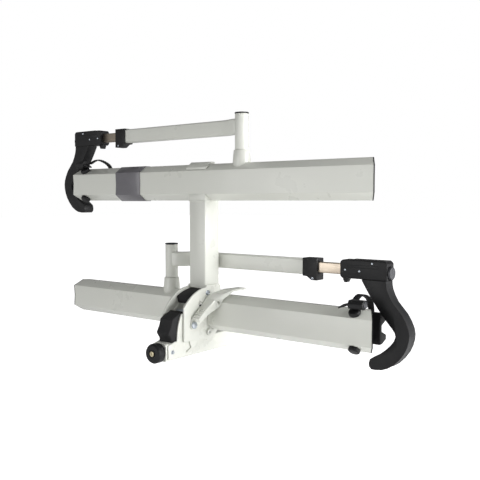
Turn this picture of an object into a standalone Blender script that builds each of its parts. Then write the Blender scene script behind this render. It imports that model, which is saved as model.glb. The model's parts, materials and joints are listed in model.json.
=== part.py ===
"""Folding hitch rack for two bikes, stowed upright.

The frame is metres with +Z up. X runs along the beams, and the user stands on the -Y side.
The origin is on the underside of the hitch shank, below its pin hole.
"""
import math

import bmesh
import bpy
from mathutils import Vector

# Clearances
GAP = 0.0003
RUN_GAP = 0.0006

# Hitch shank, a two inch square tube
SHANK_SIZE = 0.0508
SHANK_WALL = 0.005
SHANK_FRONT_Y = -0.554
SHANK_BACK_Y = 0.060
PIN_HOLE_R = 0.0082
PLUG_THICK = 0.008

# Fold pivot of the mast
PIVOT_Y = -0.382
PIVOT_RISE = 0.0122
PIVOT_BOLT_R = 0.006
PIVOT_HEAD_R = 0.0105
PIVOT_HEAD_THICK = 0.005

# Fixed quadrant plates on the shank, and the moving fork plates outside them
SECTOR_THICK = 0.0047
SECTOR_RADIUS = 0.108
FLANGE_RADIUS = 0.129
COVER_INNER_R = 0.1085
COVER_THICK = 0.0203
FORK_THICK = 0.005
FORK_RADIUS = 0.137
FORK_FRONT = 0.108
FORK_TOP = 0.142

# Mast tube
MAST_SIZE = 0.065
MAST_WALL = 0.004
MAST_FOOT = 0.132
MAST_FRONT_OFFSET = -0.008

# Beams: hollow octagons with a dished front face
BEAM_LENGTH = 1.170
BEAM_HEIGHT = 0.110
BEAM_DEPTH = 0.074
BEAM_WALL = 0.003
CHAMFER_Y = 0.027
CHAMFER_Z = 0.020
DISH = 0.0015
END_SLOPE = 0.60
CAP_THICK = 0.003
UPPER_BEAM_Z = 0.459
LOWER_BEAM_Z = 0.068

# Band and saddle on the upper beam
BAND_LOW_X = -0.361
BAND_HIGH_X = -0.246
BAND_THICK = 0.0016
SADDLE_LOW_X = -0.048
SADDLE_LENGTH = 0.080
SADDLE_INSET = 0.004
SADDLE_THICK = 0.007

# Posts and arms
POST_X = 0.142
POST_R = 0.020
POST_BORE_R = 0.017
SPINDLE_R = 0.0165
CUP_LOW_R = 0.0265
CUP_HIGH_R = 0.0235
CUP_SKIRT = 0.016
CUP_HEIGHT = 0.037
POST_HEIGHT = 0.142
LOWER_ARM_RISE = 0.096
UPPER_ARM_RISE = 0.106
ARM_HEIGHT = 0.045
ARM_DEPTH = 0.030
ARM_WALL = 0.003
ARM_END_X = 0.366
LOWER_ARM_Y = 0.087
UPPER_ARM_Y = 0.052
JOG_LENGTH = 0.062
COLLAR_LOW_X = 0.333
COLLAR_HIGH_X = 0.380
COLLAR_WALL = 0.003
COLLAR_LUG = 0.011
BAR_HEIGHT = 0.030
BAR_DEPTH = 0.018
BAR_START_X = 0.125
BAR_WALL = 0.003
UPPER_EXTRA_REACH = 0.020

# Hook head and hook
HEAD_LOW_X = 0.454
HEAD_HIGH_X = 0.592
HEAD_TOP = 0.027
HEAD_BOTTOM = -0.023
HOOK_DEPTH = 0.040
BUTTON_R = 0.0165
BUTTON_DROP = -0.004
BUTTON_LONG = 0.007
TRIGGER_X = 0.0025
TRIGGER_WIDTH = 0.015
TRIGGER_DROP = 0.0125

# Wheel cradle, strap and buckle
CRADLE_LOW_X = 0.500
CRADLE_HIGH_X = 0.570
CRADLE_DEPTH = 0.038
CRADLE_HALF_HEIGHT = 0.042
BOSS_X = 0.530
BOSS_R = 0.016
BOSS_HEIGHT = 0.012
STRAP_X = 0.520
STRAP_WIDTH = 0.020
STRAP_THICK = 0.004
BUCKLE_LOW_X = 0.519
BUCKLE_HIGH_X = 0.562

# Hitch knob
KNOB_R = 0.0285
KNOB_LENGTH = 0.030
ROD_R = 0.006
KEY_R = 0.0075
WEDGE_LENGTH = 0.045

# Release lever
LEVER_Y = -0.072
LEVER_Z = 0.031
LEVER_BOLT_R = 0.0055
LEVER_HEAD_R = 0.0105
LEVER_PLATE_GAP = 0.0046
CHEEK_THICK = 0.0040
LATCH_Y = -0.026
LATCH_Z = 0.081
LATCH_R = 0.0045

# Derived places
PIVOT_Z = SHANK_SIZE + PIVOT_RISE
BEAM_FRONT_Y = PIVOT_Y + MAST_FRONT_OFFSET
SHANK_AXIS_Z = SHANK_SIZE / 2
SECTOR_IN_X = SHANK_SIZE / 2 + GAP
SECTOR_OUT_X = SECTOR_IN_X + SECTOR_THICK
FORK_IN_X = MAST_SIZE / 2 + GAP
FORK_OUT_X = FORK_IN_X + FORK_THICK
HALF_BEAM_X = FORK_OUT_X + GAP
MAST_LOW_Z = PIVOT_Z + MAST_FOOT
POST_Y = BEAM_FRONT_Y + BEAM_DEPTH / 2

BLACK = ("black_plastic", (0.018, 0.018, 0.020), 0.45, 0.0)
PAINT = ("white_paint", (0.80, 0.81, 0.77), 0.35, 0.0)
ZINC = ("zinc", (0.62, 0.65, 0.70), 0.30, 1.0)
ALUMINIUM = ("brushed_aluminium", (0.46, 0.42, 0.38), 0.35, 1.0)
GREY = ("grey_sleeve", (0.16, 0.155, 0.17), 0.5, 0.0)
RUBBER = ("rubber", (0.02, 0.02, 0.02), 0.8, 0.0)
STEEL = ("steel", (0.45, 0.45, 0.46), 0.4, 1.0)
BRASS = ("brass", (0.66, 0.58, 0.38), 0.3, 1.0)
BUTTON_GREY = ("button_grey", (0.10, 0.10, 0.11), 0.5, 0.0)


def clear_scene():
    for item in list(bpy.data.objects):
        bpy.data.objects.remove(item, do_unlink=True)


def material(finish):
    name, colour, roughness, metallic = finish
    found = bpy.data.materials.get(name)
    if found:
        return found
    made = bpy.data.materials.new(name)
    made.use_nodes = True
    shader = made.node_tree.nodes["Principled BSDF"]
    shader.inputs["Base Color"].default_value = (*colour, 1.0)
    shader.inputs["Roughness"].default_value = roughness
    shader.inputs["Metallic"].default_value = metallic
    made.diffuse_color = (*colour, 1.0)
    return made


# Joint frames: each moving body hangs from an empty on its axis
FRAMES = {}


def joint_frame(body, place, parent=None):
    empty = bpy.data.objects.new("axis_" + body, None)
    bpy.context.scene.collection.objects.link(empty)
    origin = Vector(place)
    if parent:
        empty.parent = FRAMES[parent][0]
        empty.location = origin - FRAMES[parent][1]
    else:
        empty.location = origin
    FRAMES[body] = (empty, origin)


# Mesh builders: each gives vertices and faces in world metres
def to_space(point, along, axis):
    a, b = point
    if axis == "X":
        return (along, a, b)
    if axis == "Y":
        return (a, along, b)
    return (a, b, along)


def prism(outline, low, high, axis):
    count = len(outline)
    verts = [to_space(p, low, axis) for p in outline] + [to_space(p, high, axis) for p in outline]
    faces = [[i, (i + 1) % count, count + (i + 1) % count, count + i] for i in range(count)]
    faces.append(list(range(count))[::-1])
    faces.append(list(range(count, 2 * count)))
    return verts, faces


def loft(sections):
    count = len(sections[0])
    verts = [point for section in sections for point in section]
    faces = []
    for row in range(len(sections) - 1):
        base = row * count
        for i in range(count):
            j = (i + 1) % count
            faces.append([base + i, base + j, base + count + j, base + count + i])
    faces.append(list(range(count))[::-1])
    faces.append(list(range(len(verts) - count, len(verts))))
    return verts, faces


def hollow_loft(outer, inner):
    """Outer and inner sections, ring by ring, open at both ends."""
    count = len(outer[0])
    rings = list(outer) + list(reversed(inner))
    verts = [point for ring in rings for point in ring]
    faces = []
    total = len(rings)
    for row in range(total):
        base = row * count
        after = ((row + 1) % total) * count
        for i in range(count):
            j = (i + 1) % count
            faces.append([base + i, base + j, after + j, after + i])
    return verts, faces


def turned(profile, centre, axis, sides=24):
    """Profile points are (radius, distance along the axis) from one end on the axis to the other."""
    verts = []
    rings = []
    for radius, along in profile:
        if radius < 1e-6:
            rings.append([len(verts)])
            verts.append(place_round(0, 0, along, centre, axis))
            continue
        ring = []
        for k in range(sides):
            turn = 2 * math.pi * k / sides
            ring.append(len(verts))
            verts.append(place_round(radius * math.cos(turn), radius * math.sin(turn), along, centre, axis))
        rings.append(ring)
    faces = []
    pairs = list(zip(rings, rings[1:]))
    if len(rings[0]) > 1:
        pairs.append((rings[-1], rings[0]))
    for first, second in pairs:
        for k in range(sides):
            n = (k + 1) % sides
            if len(first) == 1:
                faces.append([first[0], second[n], second[k]])
            elif len(second) == 1:
                faces.append([first[k], first[n], second[0]])
            else:
                faces.append([first[k], first[n], second[n], second[k]])
    return verts, faces


def place_round(a, b, along, centre, axis):
    x, y, z = centre
    if axis == "X":
        return (x + along, y + a, z + b)
    if axis == "Y":
        return (x + a, y + along, z + b)
    return (x + a, y + b, z + along)


def rod(centre, radius, low, high, axis, sides=20):
    return turned([(0, low), (radius, low), (radius, high), (0, high)], centre, axis, sides)


def box(low, high):
    outline = [(low[1], low[2]), (high[1], low[2]), (high[1], high[2]), (low[1], high[2])]
    return prism(outline, low[0], high[0], "X")


def arc(centre, radius, start, end, steps):
    """Points at angles measured from +Z towards -Y."""
    points = []
    for k in range(steps + 1):
        turn = math.radians(start + (end - start) * k / steps)
        points.append((centre[0] - radius * math.sin(turn), centre[1] + radius * math.cos(turn)))
    return points


def rounded_box_outline(low, high, radius, steps=2):
    (a0, b0), (a1, b1) = low, high
    points = []
    corners = [(a1 - radius, b1 - radius, 0), (a0 + radius, b1 - radius, 90),
               (a0 + radius, b0 + radius, 180), (a1 - radius, b0 + radius, 270)]
    for ca, cb, start in corners:
        for k in range(steps + 1):
            turn = math.radians(start + 90 * k / steps)
            points.append((ca + radius * math.cos(turn), cb + radius * math.sin(turn)))
    return points


def smooth_curve(points, steps):
    """Catmull-Rom points through the given ones, ends kept."""
    padded = [points[0]] + list(points) + [points[-1]]
    made = []
    for i in range(1, len(padded) - 2):
        p0, p1, p2, p3 = (Vector(p) for p in padded[i - 1:i + 3])
        for k in range(steps):
            t = k / steps
            blend = (2 * p1 + (p2 - p0) * t + (2 * p0 - 5 * p1 + 4 * p2 - p3) * t * t
                     + (3 * p1 - p0 - 3 * p2 + p3) * t ** 3) / 2
            made.append(tuple(blend))
    made.append(tuple(points[-1]))
    return made


def mirrored(mesh, side):
    verts, faces = mesh
    return [(side * x, y, z) for x, y, z in verts], faces


def node(name, meshes, finish, body=None, smooth=False):
    """One named object from one or more closed solids."""
    shape = bmesh.new()
    for verts, faces in meshes:
        made = [shape.verts.new(v) for v in verts]
        for face in faces:
            shape.faces.new([made[i] for i in face])
    bmesh.ops.recalc_face_normals(shape, faces=shape.faces)
    if body:
        bmesh.ops.translate(shape, verts=shape.verts, vec=-FRAMES[body][1])
    mesh = bpy.data.meshes.new(name)
    shape.to_mesh(mesh)
    shape.free()
    item = bpy.data.objects.new(name, mesh)
    bpy.context.scene.collection.objects.link(item)
    item.data.materials.append(material(finish))
    if body:
        item.parent = FRAMES[body][0]
    if smooth:
        mesh.shade_smooth()
        mesh.set_sharp_from_angle(angle=math.radians(35))
    return item


def cut(item, name, mesh, body=None):
    tool = node(name, [mesh], STEEL, body)
    tool.hide_render = True
    tool.display_type = "WIRE"
    trim = item.modifiers.new(name, "BOOLEAN")
    trim.operation = "DIFFERENCE"
    trim.object = tool
    trim.solver = "EXACT"


# Hitch shank, quadrant and pivot
def pivot_place(dy, dz):
    return (PIVOT_Y + dy, PIVOT_Z + dz)


def shank():
    half = SHANK_SIZE / 2
    inner = half - SHANK_WALL
    outer_ring = rounded_box_outline((-half, 0), (half, SHANK_SIZE), 0.004)
    inner_ring = rounded_box_outline((-inner, SHANK_WALL), (inner, SHANK_SIZE - SHANK_WALL), 0.002)
    ends = (SHANK_FRONT_Y, SHANK_BACK_Y)
    tube = hollow_loft([[to_space(p, y, "Y") for p in outer_ring] for y in ends],
                       [[to_space(p, y, "Y") for p in inner_ring] for y in ends])
    item = node("hitch_shank", [tube], PAINT)
    cut(item, "pin_hole_tool", rod((0, 0, SHANK_AXIS_Z), PIN_HOLE_R, inner - 0.002, half + 0.01, "X"))

    side = inner - GAP
    low = SHANK_WALL + GAP
    plug_outline = rounded_box_outline((-side, low), (side, SHANK_SIZE - low), 0.002)
    plug = prism(plug_outline, SHANK_FRONT_Y, SHANK_FRONT_Y + PLUG_THICK, "Y")
    item = node("shank_end_plug", [plug], PAINT)
    cut(item, "plug_bore_tool", rod((0, SHANK_FRONT_Y, SHANK_AXIS_Z), ROD_R + GAP, -0.01, 0.02, "Y"))


def sector_outline():
    """Plate that stands on the shank's side and rises round the pivot."""
    low = PIVOT_Z + MAST_FRONT_OFFSET - 0.0010
    points = [(SHANK_FRONT_Y + 0.006, 0.006), (SHANK_FRONT_Y + 0.006, SHANK_SIZE - 0.004)]
    points.append((PIVOT_Y - FLANGE_RADIUS - 0.010, low))
    points.append((PIVOT_Y - FLANGE_RADIUS, low))
    points += arc((PIVOT_Y, PIVOT_Z), FLANGE_RADIUS, 90, 58, 5)
    points += arc((PIVOT_Y, PIVOT_Z), SECTOR_RADIUS, 52, -8, 8)
    points.append(pivot_place(0.022, 0.020))
    points.append(pivot_place(0.030, -0.030))
    points.append((PIVOT_Y + 0.060, 0.006))
    return points


def sector_plates():
    for side, word in ((-1, "left"), (1, "right")):
        plate = mirrored(prism(sector_outline(), SECTOR_IN_X, SECTOR_OUT_X, "X"), side)
        item = node("sector_plate_" + word, [plate], PAINT)
        bore = rod((0, PIVOT_Y, PIVOT_Z), PIVOT_BOLT_R + GAP, -0.05, 0.05, "X")
        cut(item, "sector_bore_tool_" + word, bore)
        if side > 0:
            outer = arc((PIVOT_Y, PIVOT_Z), 0.1025, 8, 118, 14)
            inner = arc((PIVOT_Y, PIVOT_Z), 0.0785, 118, 8, 14)
            cut(item, "latch_slot_tool", prism(outer + inner, 0.02, 0.04, "X"))


def sector_cover():
    half = SHANK_SIZE / 2
    outer = arc((PIVOT_Y, PIVOT_Z), COVER_INNER_R + COVER_THICK, -3, 31, 10)
    inner = arc((PIVOT_Y, PIVOT_Z), COVER_INNER_R, 34, -3, 10)
    node("sector_cover", [prism(outer + inner, -half - SECTOR_THICK, half + SECTOR_THICK, "X")], RUBBER,
         smooth=True)


def front_boot():
    """Stepped rubber boot in front of the quadrant, which the folding mast presses back."""
    half = SHANK_SIZE / 2 - GAP
    low = SHANK_SIZE + GAP
    outer = [pivot_place(-0.100, 0.074), pivot_place(-0.118, 0.067), pivot_place(-0.143, 0.055),
             pivot_place(-0.149, 0.035), pivot_place(-0.160, 0.016), pivot_place(-0.148, -0.002)]
    points = outer + [(PIVOT_Y - 0.148, low), (PIVOT_Y - 0.108, low), pivot_place(-0.112, 0.014),
                      pivot_place(-0.104, 0.040), pivot_place(-0.092, 0.058)]
    node("front_boot", [prism(points, -half, half, "X")], RUBBER)


def base_hardware():
    half = SHANK_SIZE / 2
    y, z = pivot_place(-0.070, 0.068)
    node("stop_bar", [rod((0, y, z), 0.006, -half, half, "X", 16)], ZINC, smooth=True)

    reach = FORK_OUT_X + GAP
    end = reach + PIVOT_HEAD_THICK
    shaft = [(0, -end), (PIVOT_HEAD_R, -end), (PIVOT_HEAD_R, -reach), (PIVOT_BOLT_R, -reach),
             (PIVOT_BOLT_R, reach), (PIVOT_HEAD_R, reach), (PIVOT_HEAD_R, end), (0, end)]
    node("pivot_bolt", [turned(shaft, (0, PIVOT_Y, PIVOT_Z), "X", 18)], PAINT, smooth=True)


# Hitch knob with its lock and the wedge that it draws up inside the shank
def knob_set():
    front = SHANK_FRONT_Y - GAP
    joint_frame("knob", (0, front, SHANK_AXIS_Z))
    joint_frame("key", (0, front - KNOB_LENGTH, SHANK_AXIS_Z), "knob")
    joint_frame("wedge", (0, 0, SHANK_AXIS_Z))
    centre = (0, front, SHANK_AXIS_Z)
    profile = [(ROD_R + GAP, 0), (KNOB_R - 0.004, 0), (KNOB_R, -0.005), (KNOB_R, -KNOB_LENGTH + 0.006),
               (KNOB_R - 0.004, -KNOB_LENGTH), (0.012, -KNOB_LENGTH), (0.012, -KNOB_LENGTH + 0.003),
               (KEY_R + GAP, -KNOB_LENGTH + 0.003), (KEY_R + GAP, -0.010), (ROD_R + GAP, -0.010)]
    node("hitch_knob", [turned(profile, centre, "Y", 28)], BLACK, "knob", smooth=True)
    rod_end = SHANK_BACK_Y - 0.020
    node("drive_rod", [rod(centre, ROD_R, -0.009, rod_end - front, "Y", 12)], STEEL, "knob", smooth=True)
    core = rod(centre, KEY_R, -KNOB_LENGTH - 0.001, -0.0105, "Y", 18)
    item = node("key_cylinder", [core], BRASS, "key", smooth=True)
    cut(item, "key_slot_tool", box((-0.001, front - KNOB_LENGTH - 0.002, SHANK_AXIS_Z - 0.0045),
                                   (0.001, front - KNOB_LENGTH + 0.006, SHANK_AXIS_Z + 0.0045)), "key")

    half = SHANK_SIZE / 2 - SHANK_WALL - RUN_GAP
    back = SHANK_BACK_Y - 0.004
    low = SHANK_AXIS_Z - half
    high = SHANK_AXIS_Z + half
    side_view = [(back - WEDGE_LENGTH, low), (back, low), (back, high), (back - WEDGE_LENGTH + 0.022, high),
                 (back - WEDGE_LENGTH, high - 0.012)]
    item = node("wedge_block", [prism(side_view, -half, half, "X")], STEEL, "wedge")
    cut(item, "wedge_bore_tool", rod((0, 0, SHANK_AXIS_Z), ROD_R + GAP, back - 0.09, back - 0.010, "Y", 16),
        "wedge")


# Mast and beams
def fork_outline(right):
    points = [pivot_place(-FORK_FRONT, -0.014)]
    if right:
        points += arc((PIVOT_Y, PIVOT_Z), FORK_RADIUS, 52, 14, 8)
    else:
        points += arc((PIVOT_Y, PIVOT_Z), FORK_RADIUS, 66, 14, 10)
    back = MAST_FRONT_OFFSET + MAST_SIZE
    points += [pivot_place(MAST_FRONT_OFFSET, FORK_RADIUS), pivot_place(MAST_FRONT_OFFSET, FORK_TOP),
               pivot_place(back - 0.006, FORK_TOP), pivot_place(back, FORK_TOP - 0.006)]
    points += [pivot_place(back, 0.016), pivot_place(0.030, -0.010)]
    points += arc((PIVOT_Y, PIVOT_Z), 0.024, 220, 150, 5)
    return points


def mast():
    joint_frame("mast", (0, PIVOT_Y, PIVOT_Z))
    half = MAST_SIZE / 2
    inner = half - MAST_WALL
    y0 = BEAM_FRONT_Y
    y1 = y0 + MAST_SIZE
    outer_ring = rounded_box_outline((-half, y0), (half, y1), 0.004)
    inner_ring = rounded_box_outline((-inner, y0 + MAST_WALL), (inner, y1 - MAST_WALL), 0.002)
    ends = (MAST_LOW_Z, UPPER_BEAM_Z - GAP)
    tube = hollow_loft([[to_space(p, z, "Z") for p in outer_ring] for z in ends],
                       [[to_space(p, z, "Z") for p in inner_ring] for z in ends])
    node("mast_tube", [tube], PAINT, "mast")

    for side, word in ((-1, "left"), (1, "right")):
        plate = mirrored(prism(fork_outline(side > 0), FORK_IN_X, FORK_OUT_X, "X"), side)
        item = node("fork_plate_" + word, [plate], PAINT, "mast")
        cut(item, "fork_bore_tool_" + word,
            rod((0, PIVOT_Y, PIVOT_Z), PIVOT_BOLT_R + GAP, -0.05, 0.05, "X"), "mast")
        if side > 0:
            slot = arc(pivot_place(LEVER_Y, LEVER_Z), 0.0745, -56, -24, 6)
            slot += arc(pivot_place(LEVER_Y, LEVER_Z), 0.0615, -24, -56, 6)
            cut(item, "latch_window_tool", prism(slot, 0.031, 0.040, "X"), "mast")
            y, z = pivot_place(LEVER_Y, LEVER_Z)
            cut(item, "lever_bore_tool", rod((0, y, z), LEVER_BOLT_R + GAP, 0.031, 0.040, "X"), "mast")


def beam_section(low_z, grow=0.0):
    """Octagon in (y, z), dished at the front, grown outwards by grow."""
    y0 = BEAM_FRONT_Y - grow
    y1 = BEAM_FRONT_Y + BEAM_DEPTH + grow
    z0 = low_z - grow
    z1 = low_z + BEAM_HEIGHT + grow
    slope = grow * 0.35
    mid = (z0 + z1) / 2
    return [(y0, z0 + CHAMFER_Z + slope), (y0 + CHAMFER_Y + slope, z0), (y1 - CHAMFER_Y - slope, z0),
            (y1, z0 + CHAMFER_Z + slope), (y1, z1 - CHAMFER_Z - slope), (y1 - CHAMFER_Y - slope, z1),
            (y0 + CHAMFER_Y + slope, z1), (y0, z1 - CHAMFER_Z - slope), (y0 + DISH, mid)]


def end_x(y, extra=0.0):
    return BEAM_LENGTH / 2 + extra - END_SLOPE * (y - BEAM_FRONT_Y)


def beam_end(section, side):
    """Ring at a beam's raked end; side is -1 or +1."""
    return [(side * end_x(y), y, z) for y, z in section]


def square_end(section, x):
    return [(x, y, z) for y, z in section]


def beam_tube(low_z, side=0):
    """The whole beam, or its half on one side of the fork plates."""
    rings = []
    for section in (beam_section(low_z), beam_section(low_z, -BEAM_WALL)):
        root = square_end(section, side * HALF_BEAM_X) if side else beam_end(section, -1)
        rings.append([root, beam_end(section, side or 1)])
    return hollow_loft(rings[0], rings[1])


def end_cap(low_z, side):
    section = beam_section(low_z)
    rings = [[(side * end_x(y, extra), y, z) for y, z in section] for extra in (GAP, GAP + CAP_THICK)]
    return loft(rings)


def beams():
    node("upper_beam", [beam_tube(UPPER_BEAM_Z)], PAINT, "mast")
    node("lower_beam_right", [beam_tube(LOWER_BEAM_Z, 1)], PAINT, "mast")
    node("lower_beam_left", [beam_tube(LOWER_BEAM_Z, -1)], PAINT, "mast")
    for word, low_z in (("upper", UPPER_BEAM_Z), ("lower", LOWER_BEAM_Z)):
        node(word + "_cap_left", [end_cap(low_z, -1)], BLACK, "mast")
        node(word + "_cap_right", [end_cap(low_z, 1)], BLACK, "mast")

    outer = beam_section(UPPER_BEAM_Z, GAP + BAND_THICK)
    inner = beam_section(UPPER_BEAM_Z, GAP)
    ends = (BAND_LOW_X, BAND_HIGH_X)
    band = hollow_loft([square_end(outer, x) for x in ends], [square_end(inner, x) for x in ends])
    node("beam_band", [band], GREY, "mast")

    top = UPPER_BEAM_Z + BEAM_HEIGHT
    low = top + RUN_GAP
    high = top + SADDLE_THICK
    flat_y = (BEAM_FRONT_Y + CHAMFER_Y, BEAM_FRONT_Y + BEAM_DEPTH - CHAMFER_Y)
    fall = CHAMFER_Z * (1 - SADDLE_INSET / CHAMFER_Y)
    near_y = BEAM_FRONT_Y + SADDLE_INSET
    outline = [(near_y, low - fall), (flat_y[0], low), (flat_y[1], low), (flat_y[1], high),
               (flat_y[0], high), (near_y, high - fall)]
    node("beam_saddle", [prism(outline, SADDLE_LOW_X, SADDLE_LOW_X + SADDLE_LENGTH, "X")], PAINT, "mast")


def lever_bolt():
    y, z = pivot_place(LEVER_Y, LEVER_Z)
    start = FORK_IN_X + 0.0012
    under = FORK_OUT_X + GAP + CHEEK_THICK + GAP
    end = under + PIVOT_HEAD_THICK
    profile = [(0, start), (LEVER_BOLT_R, start), (LEVER_BOLT_R, under), (LEVER_HEAD_R, under),
               (LEVER_HEAD_R, end), (0, end)]
    node("lever_bolt", [turned(profile, (0, y, z), "X", 18)], ZINC, "mast", smooth=True)


# Release lever
def lever():
    y, z = pivot_place(LEVER_Y, LEVER_Z)
    joint_frame("lever", (FORK_OUT_X, y, z), "mast")
    inner = FORK_OUT_X + LEVER_PLATE_GAP
    thick = 0.0035
    stations = [(inner, 0.0700, -0.079, 0.054, 0.014), (inner, 0.0720, -0.046, 0.080, 0.020),
                (inner, 0.0790, -0.018, 0.103, 0.028), (0.0505, 0.0890, -0.0168, 0.1097, 0.029),
                (0.0640, 0.1060, -0.0145, 0.121, 0.0135),
                (0.0900, 0.1300, 0.006, 0.1345, 0.0050), (0.1180, 0.1500, 0.042, 0.1385, 0.0045)]
    sections = []
    for x0, x1, dy, dz, drop in stations:
        py, pz = pivot_place(dy, dz)
        back = 0.001 if drop < 0.01 else 0.0045
        sections.append([(x0, py, pz), (x1, py, pz), (x1, py + back, pz - drop),
                         (x1 - thick, py + back, pz - drop), (x1 - thick, py + 0.001, pz - thick),
                         (x0, py + 0.001, pz - thick)])
    node("release_lever", [loft(sections)], PAINT, "lever")

    pin_y, pin_z = pivot_place(LATCH_Y, LATCH_Z)
    cheek = [(y - 0.012, z - 0.006), (y - 0.006, z - 0.012), (y + 0.008, z - 0.011),
             (pin_y + 0.009, pin_z - 0.008), (pin_y + 0.009, pin_z + 0.008), (y - 0.006, z + 0.020)]
    cheek_out = FORK_OUT_X + GAP + CHEEK_THICK
    item = node("lever_cheek", [prism(cheek, FORK_OUT_X + GAP, cheek_out, "X")], PAINT, "lever")
    cut(item, "cheek_bore_tool", rod((0, y, z), LEVER_BOLT_R + GAP, 0.03, 0.06, "X"), "lever")
    cut(item, "cheek_pin_tool", rod((0, pin_y, pin_z), LATCH_R + GAP, 0.03, 0.06, "X"), "lever")
    pin = rod((0, pin_y, pin_z), LATCH_R, SECTOR_IN_X, cheek_out, "X", 14)
    node("latch_pin", [pin], ZINC, "lever", smooth=True)


# Posts, arms and hooks; side is +1 for the lower arm that points to +X
def post(word, side, beam_z):
    x = -side * POST_X
    top = beam_z + BEAM_HEIGHT
    centre = (x, POST_Y, top)
    profile = [(0, -CUP_SKIRT), (CUP_LOW_R, -CUP_SKIRT), (CUP_LOW_R, 0.004), (CUP_HIGH_R, CUP_HEIGHT),
               (SPINDLE_R, CUP_HEIGHT), (SPINDLE_R, POST_HEIGHT - 0.008), (0, POST_HEIGHT - 0.008)]
    item = node(word + "_post_cup", [turned(profile, centre, "Z", 28)], PAINT, "mast", smooth=True)
    tool = prism(beam_section(beam_z, GAP), x - 0.05, x + 0.05, "X")
    cut(item, word + "_cup_tool", tool, "mast")

    body = word + "_arm"
    joint_frame(body, centre, "mast")
    low = CUP_HEIGHT + GAP
    ring = [(POST_BORE_R, low), (POST_R, low), (POST_R, POST_HEIGHT), (POST_BORE_R, POST_HEIGHT)]
    node(word + "_post_tube", [turned(ring, centre, "Z", 28)], PAINT, body, smooth=True)
    cap = [(0, POST_HEIGHT - 0.006), (POST_BORE_R - GAP, POST_HEIGHT - 0.006),
           (POST_BORE_R - GAP, POST_HEIGHT + GAP), (POST_R + 0.0008, POST_HEIGHT + GAP),
           (POST_R + 0.0008, POST_HEIGHT + 0.004), (0, POST_HEIGHT + 0.0045)]
    node(word + "_post_cap", [turned(cap, centre, "Z", 28)], BLACK, body, smooth=True)


def arm(word, side, beam_z, arm_y, rise, reach):
    body = word + "_arm"
    axis_y = BEAM_FRONT_Y + arm_y
    axis_z = beam_z + BEAM_HEIGHT + rise
    start_x = -POST_X + 0.008
    knee = start_x + JOG_LENGTH + 0.010
    path = smooth_curve([(start_x, POST_Y), (start_x + 0.020, POST_Y + (axis_y - POST_Y) * 0.12),
                         (knee - 0.018, axis_y - (axis_y - POST_Y) * 0.12), (knee, axis_y)], 3)
    end_of_tube = ARM_END_X + reach
    path.append((end_of_tube, axis_y))
    rings = {}
    for key, shrink in (("outer", 0.0), ("inner", ARM_WALL)):
        half_d = ARM_DEPTH / 2 - shrink
        half_h = ARM_HEIGHT / 2 - shrink
        corner = 0.004 if key == "outer" else 0.002
        outline = rounded_box_outline((-half_d, -half_h), (half_d, half_h), corner, 1)
        rings[key] = []
        for i, (px, py) in enumerate(path):
            ahead = Vector(path[min(i + 1, len(path) - 1)])
            behind = Vector(path[max(i - 1, 0)])
            run = (ahead - behind).normalized()
            if i >= len(path) - 2:
                run = Vector((1, 0))
            rings[key].append([(px - run.y * a, py + run.x * a, axis_z + b) for a, b in outline])
    tube = mirrored(hollow_loft(rings["outer"], rings["inner"]), side)
    item = node(word + "_arm_tube", [tube], PAINT, body)
    cut(item, word + "_arm_post_tool",
        rod((-side * POST_X, POST_Y, axis_z), POST_R + GAP, -0.05, 0.05, "Z", 28), body)

    half_d = ARM_DEPTH / 2 + COLLAR_WALL
    half_h = ARM_HEIGHT / 2 + COLLAR_WALL
    low_x = COLLAR_LOW_X + reach
    high_x = COLLAR_HIGH_X + reach
    under = axis_z - half_h
    outline = [(low_x, axis_z + half_h), (low_x, under), (low_x + 0.014, under - 0.001),
               (high_x - 0.018, under - COLLAR_LUG), (high_x, under - COLLAR_LUG), (high_x, axis_z + half_h)]
    item = node(word + "_arm_collar",
                [mirrored(prism(outline, axis_y - half_d, axis_y + half_d, "Y"), side)], BLACK, body)
    fit_d = ARM_DEPTH / 2 + GAP
    fit_h = ARM_HEIGHT / 2 + GAP
    socket = box((low_x - 0.01, axis_y - fit_d, axis_z - fit_h),
                 (end_of_tube + GAP, axis_y + fit_d, axis_z + fit_h))
    cut(item, word + "_collar_tube_tool", mirrored(socket, side), body)
    bar_d = BAR_DEPTH / 2 + GAP
    bar_h = BAR_HEIGHT / 2 + GAP
    way = box((end_of_tube - 0.02, axis_y - bar_d, axis_z - bar_h),
              (high_x + 0.01, axis_y + bar_d, axis_z + bar_h))
    cut(item, word + "_collar_bar_tool", mirrored(way, side), body)


HOOK_OUTER = [(0.5895, -0.0233), (0.5920, -0.045), (0.6080, -0.078), (0.6350, -0.108), (0.6530, -0.143),
              (0.6545, -0.172), (0.6420, -0.206), (0.6130, -0.240), (0.5800, -0.257), (0.5500, -0.259)]
HOOK_INNER = [(0.5430, -0.252), (0.5450, -0.232), (0.5760, -0.213), (0.6040, -0.188), (0.6170, -0.164),
              (0.6070, -0.145), (0.5870, -0.123), (0.5520, -0.078), (0.5240, -0.0345), (0.5180, -0.0233)]


def hook_outline():
    return smooth_curve(HOOK_OUTER, 2) + smooth_curve(HOOK_INNER, 2)


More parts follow.
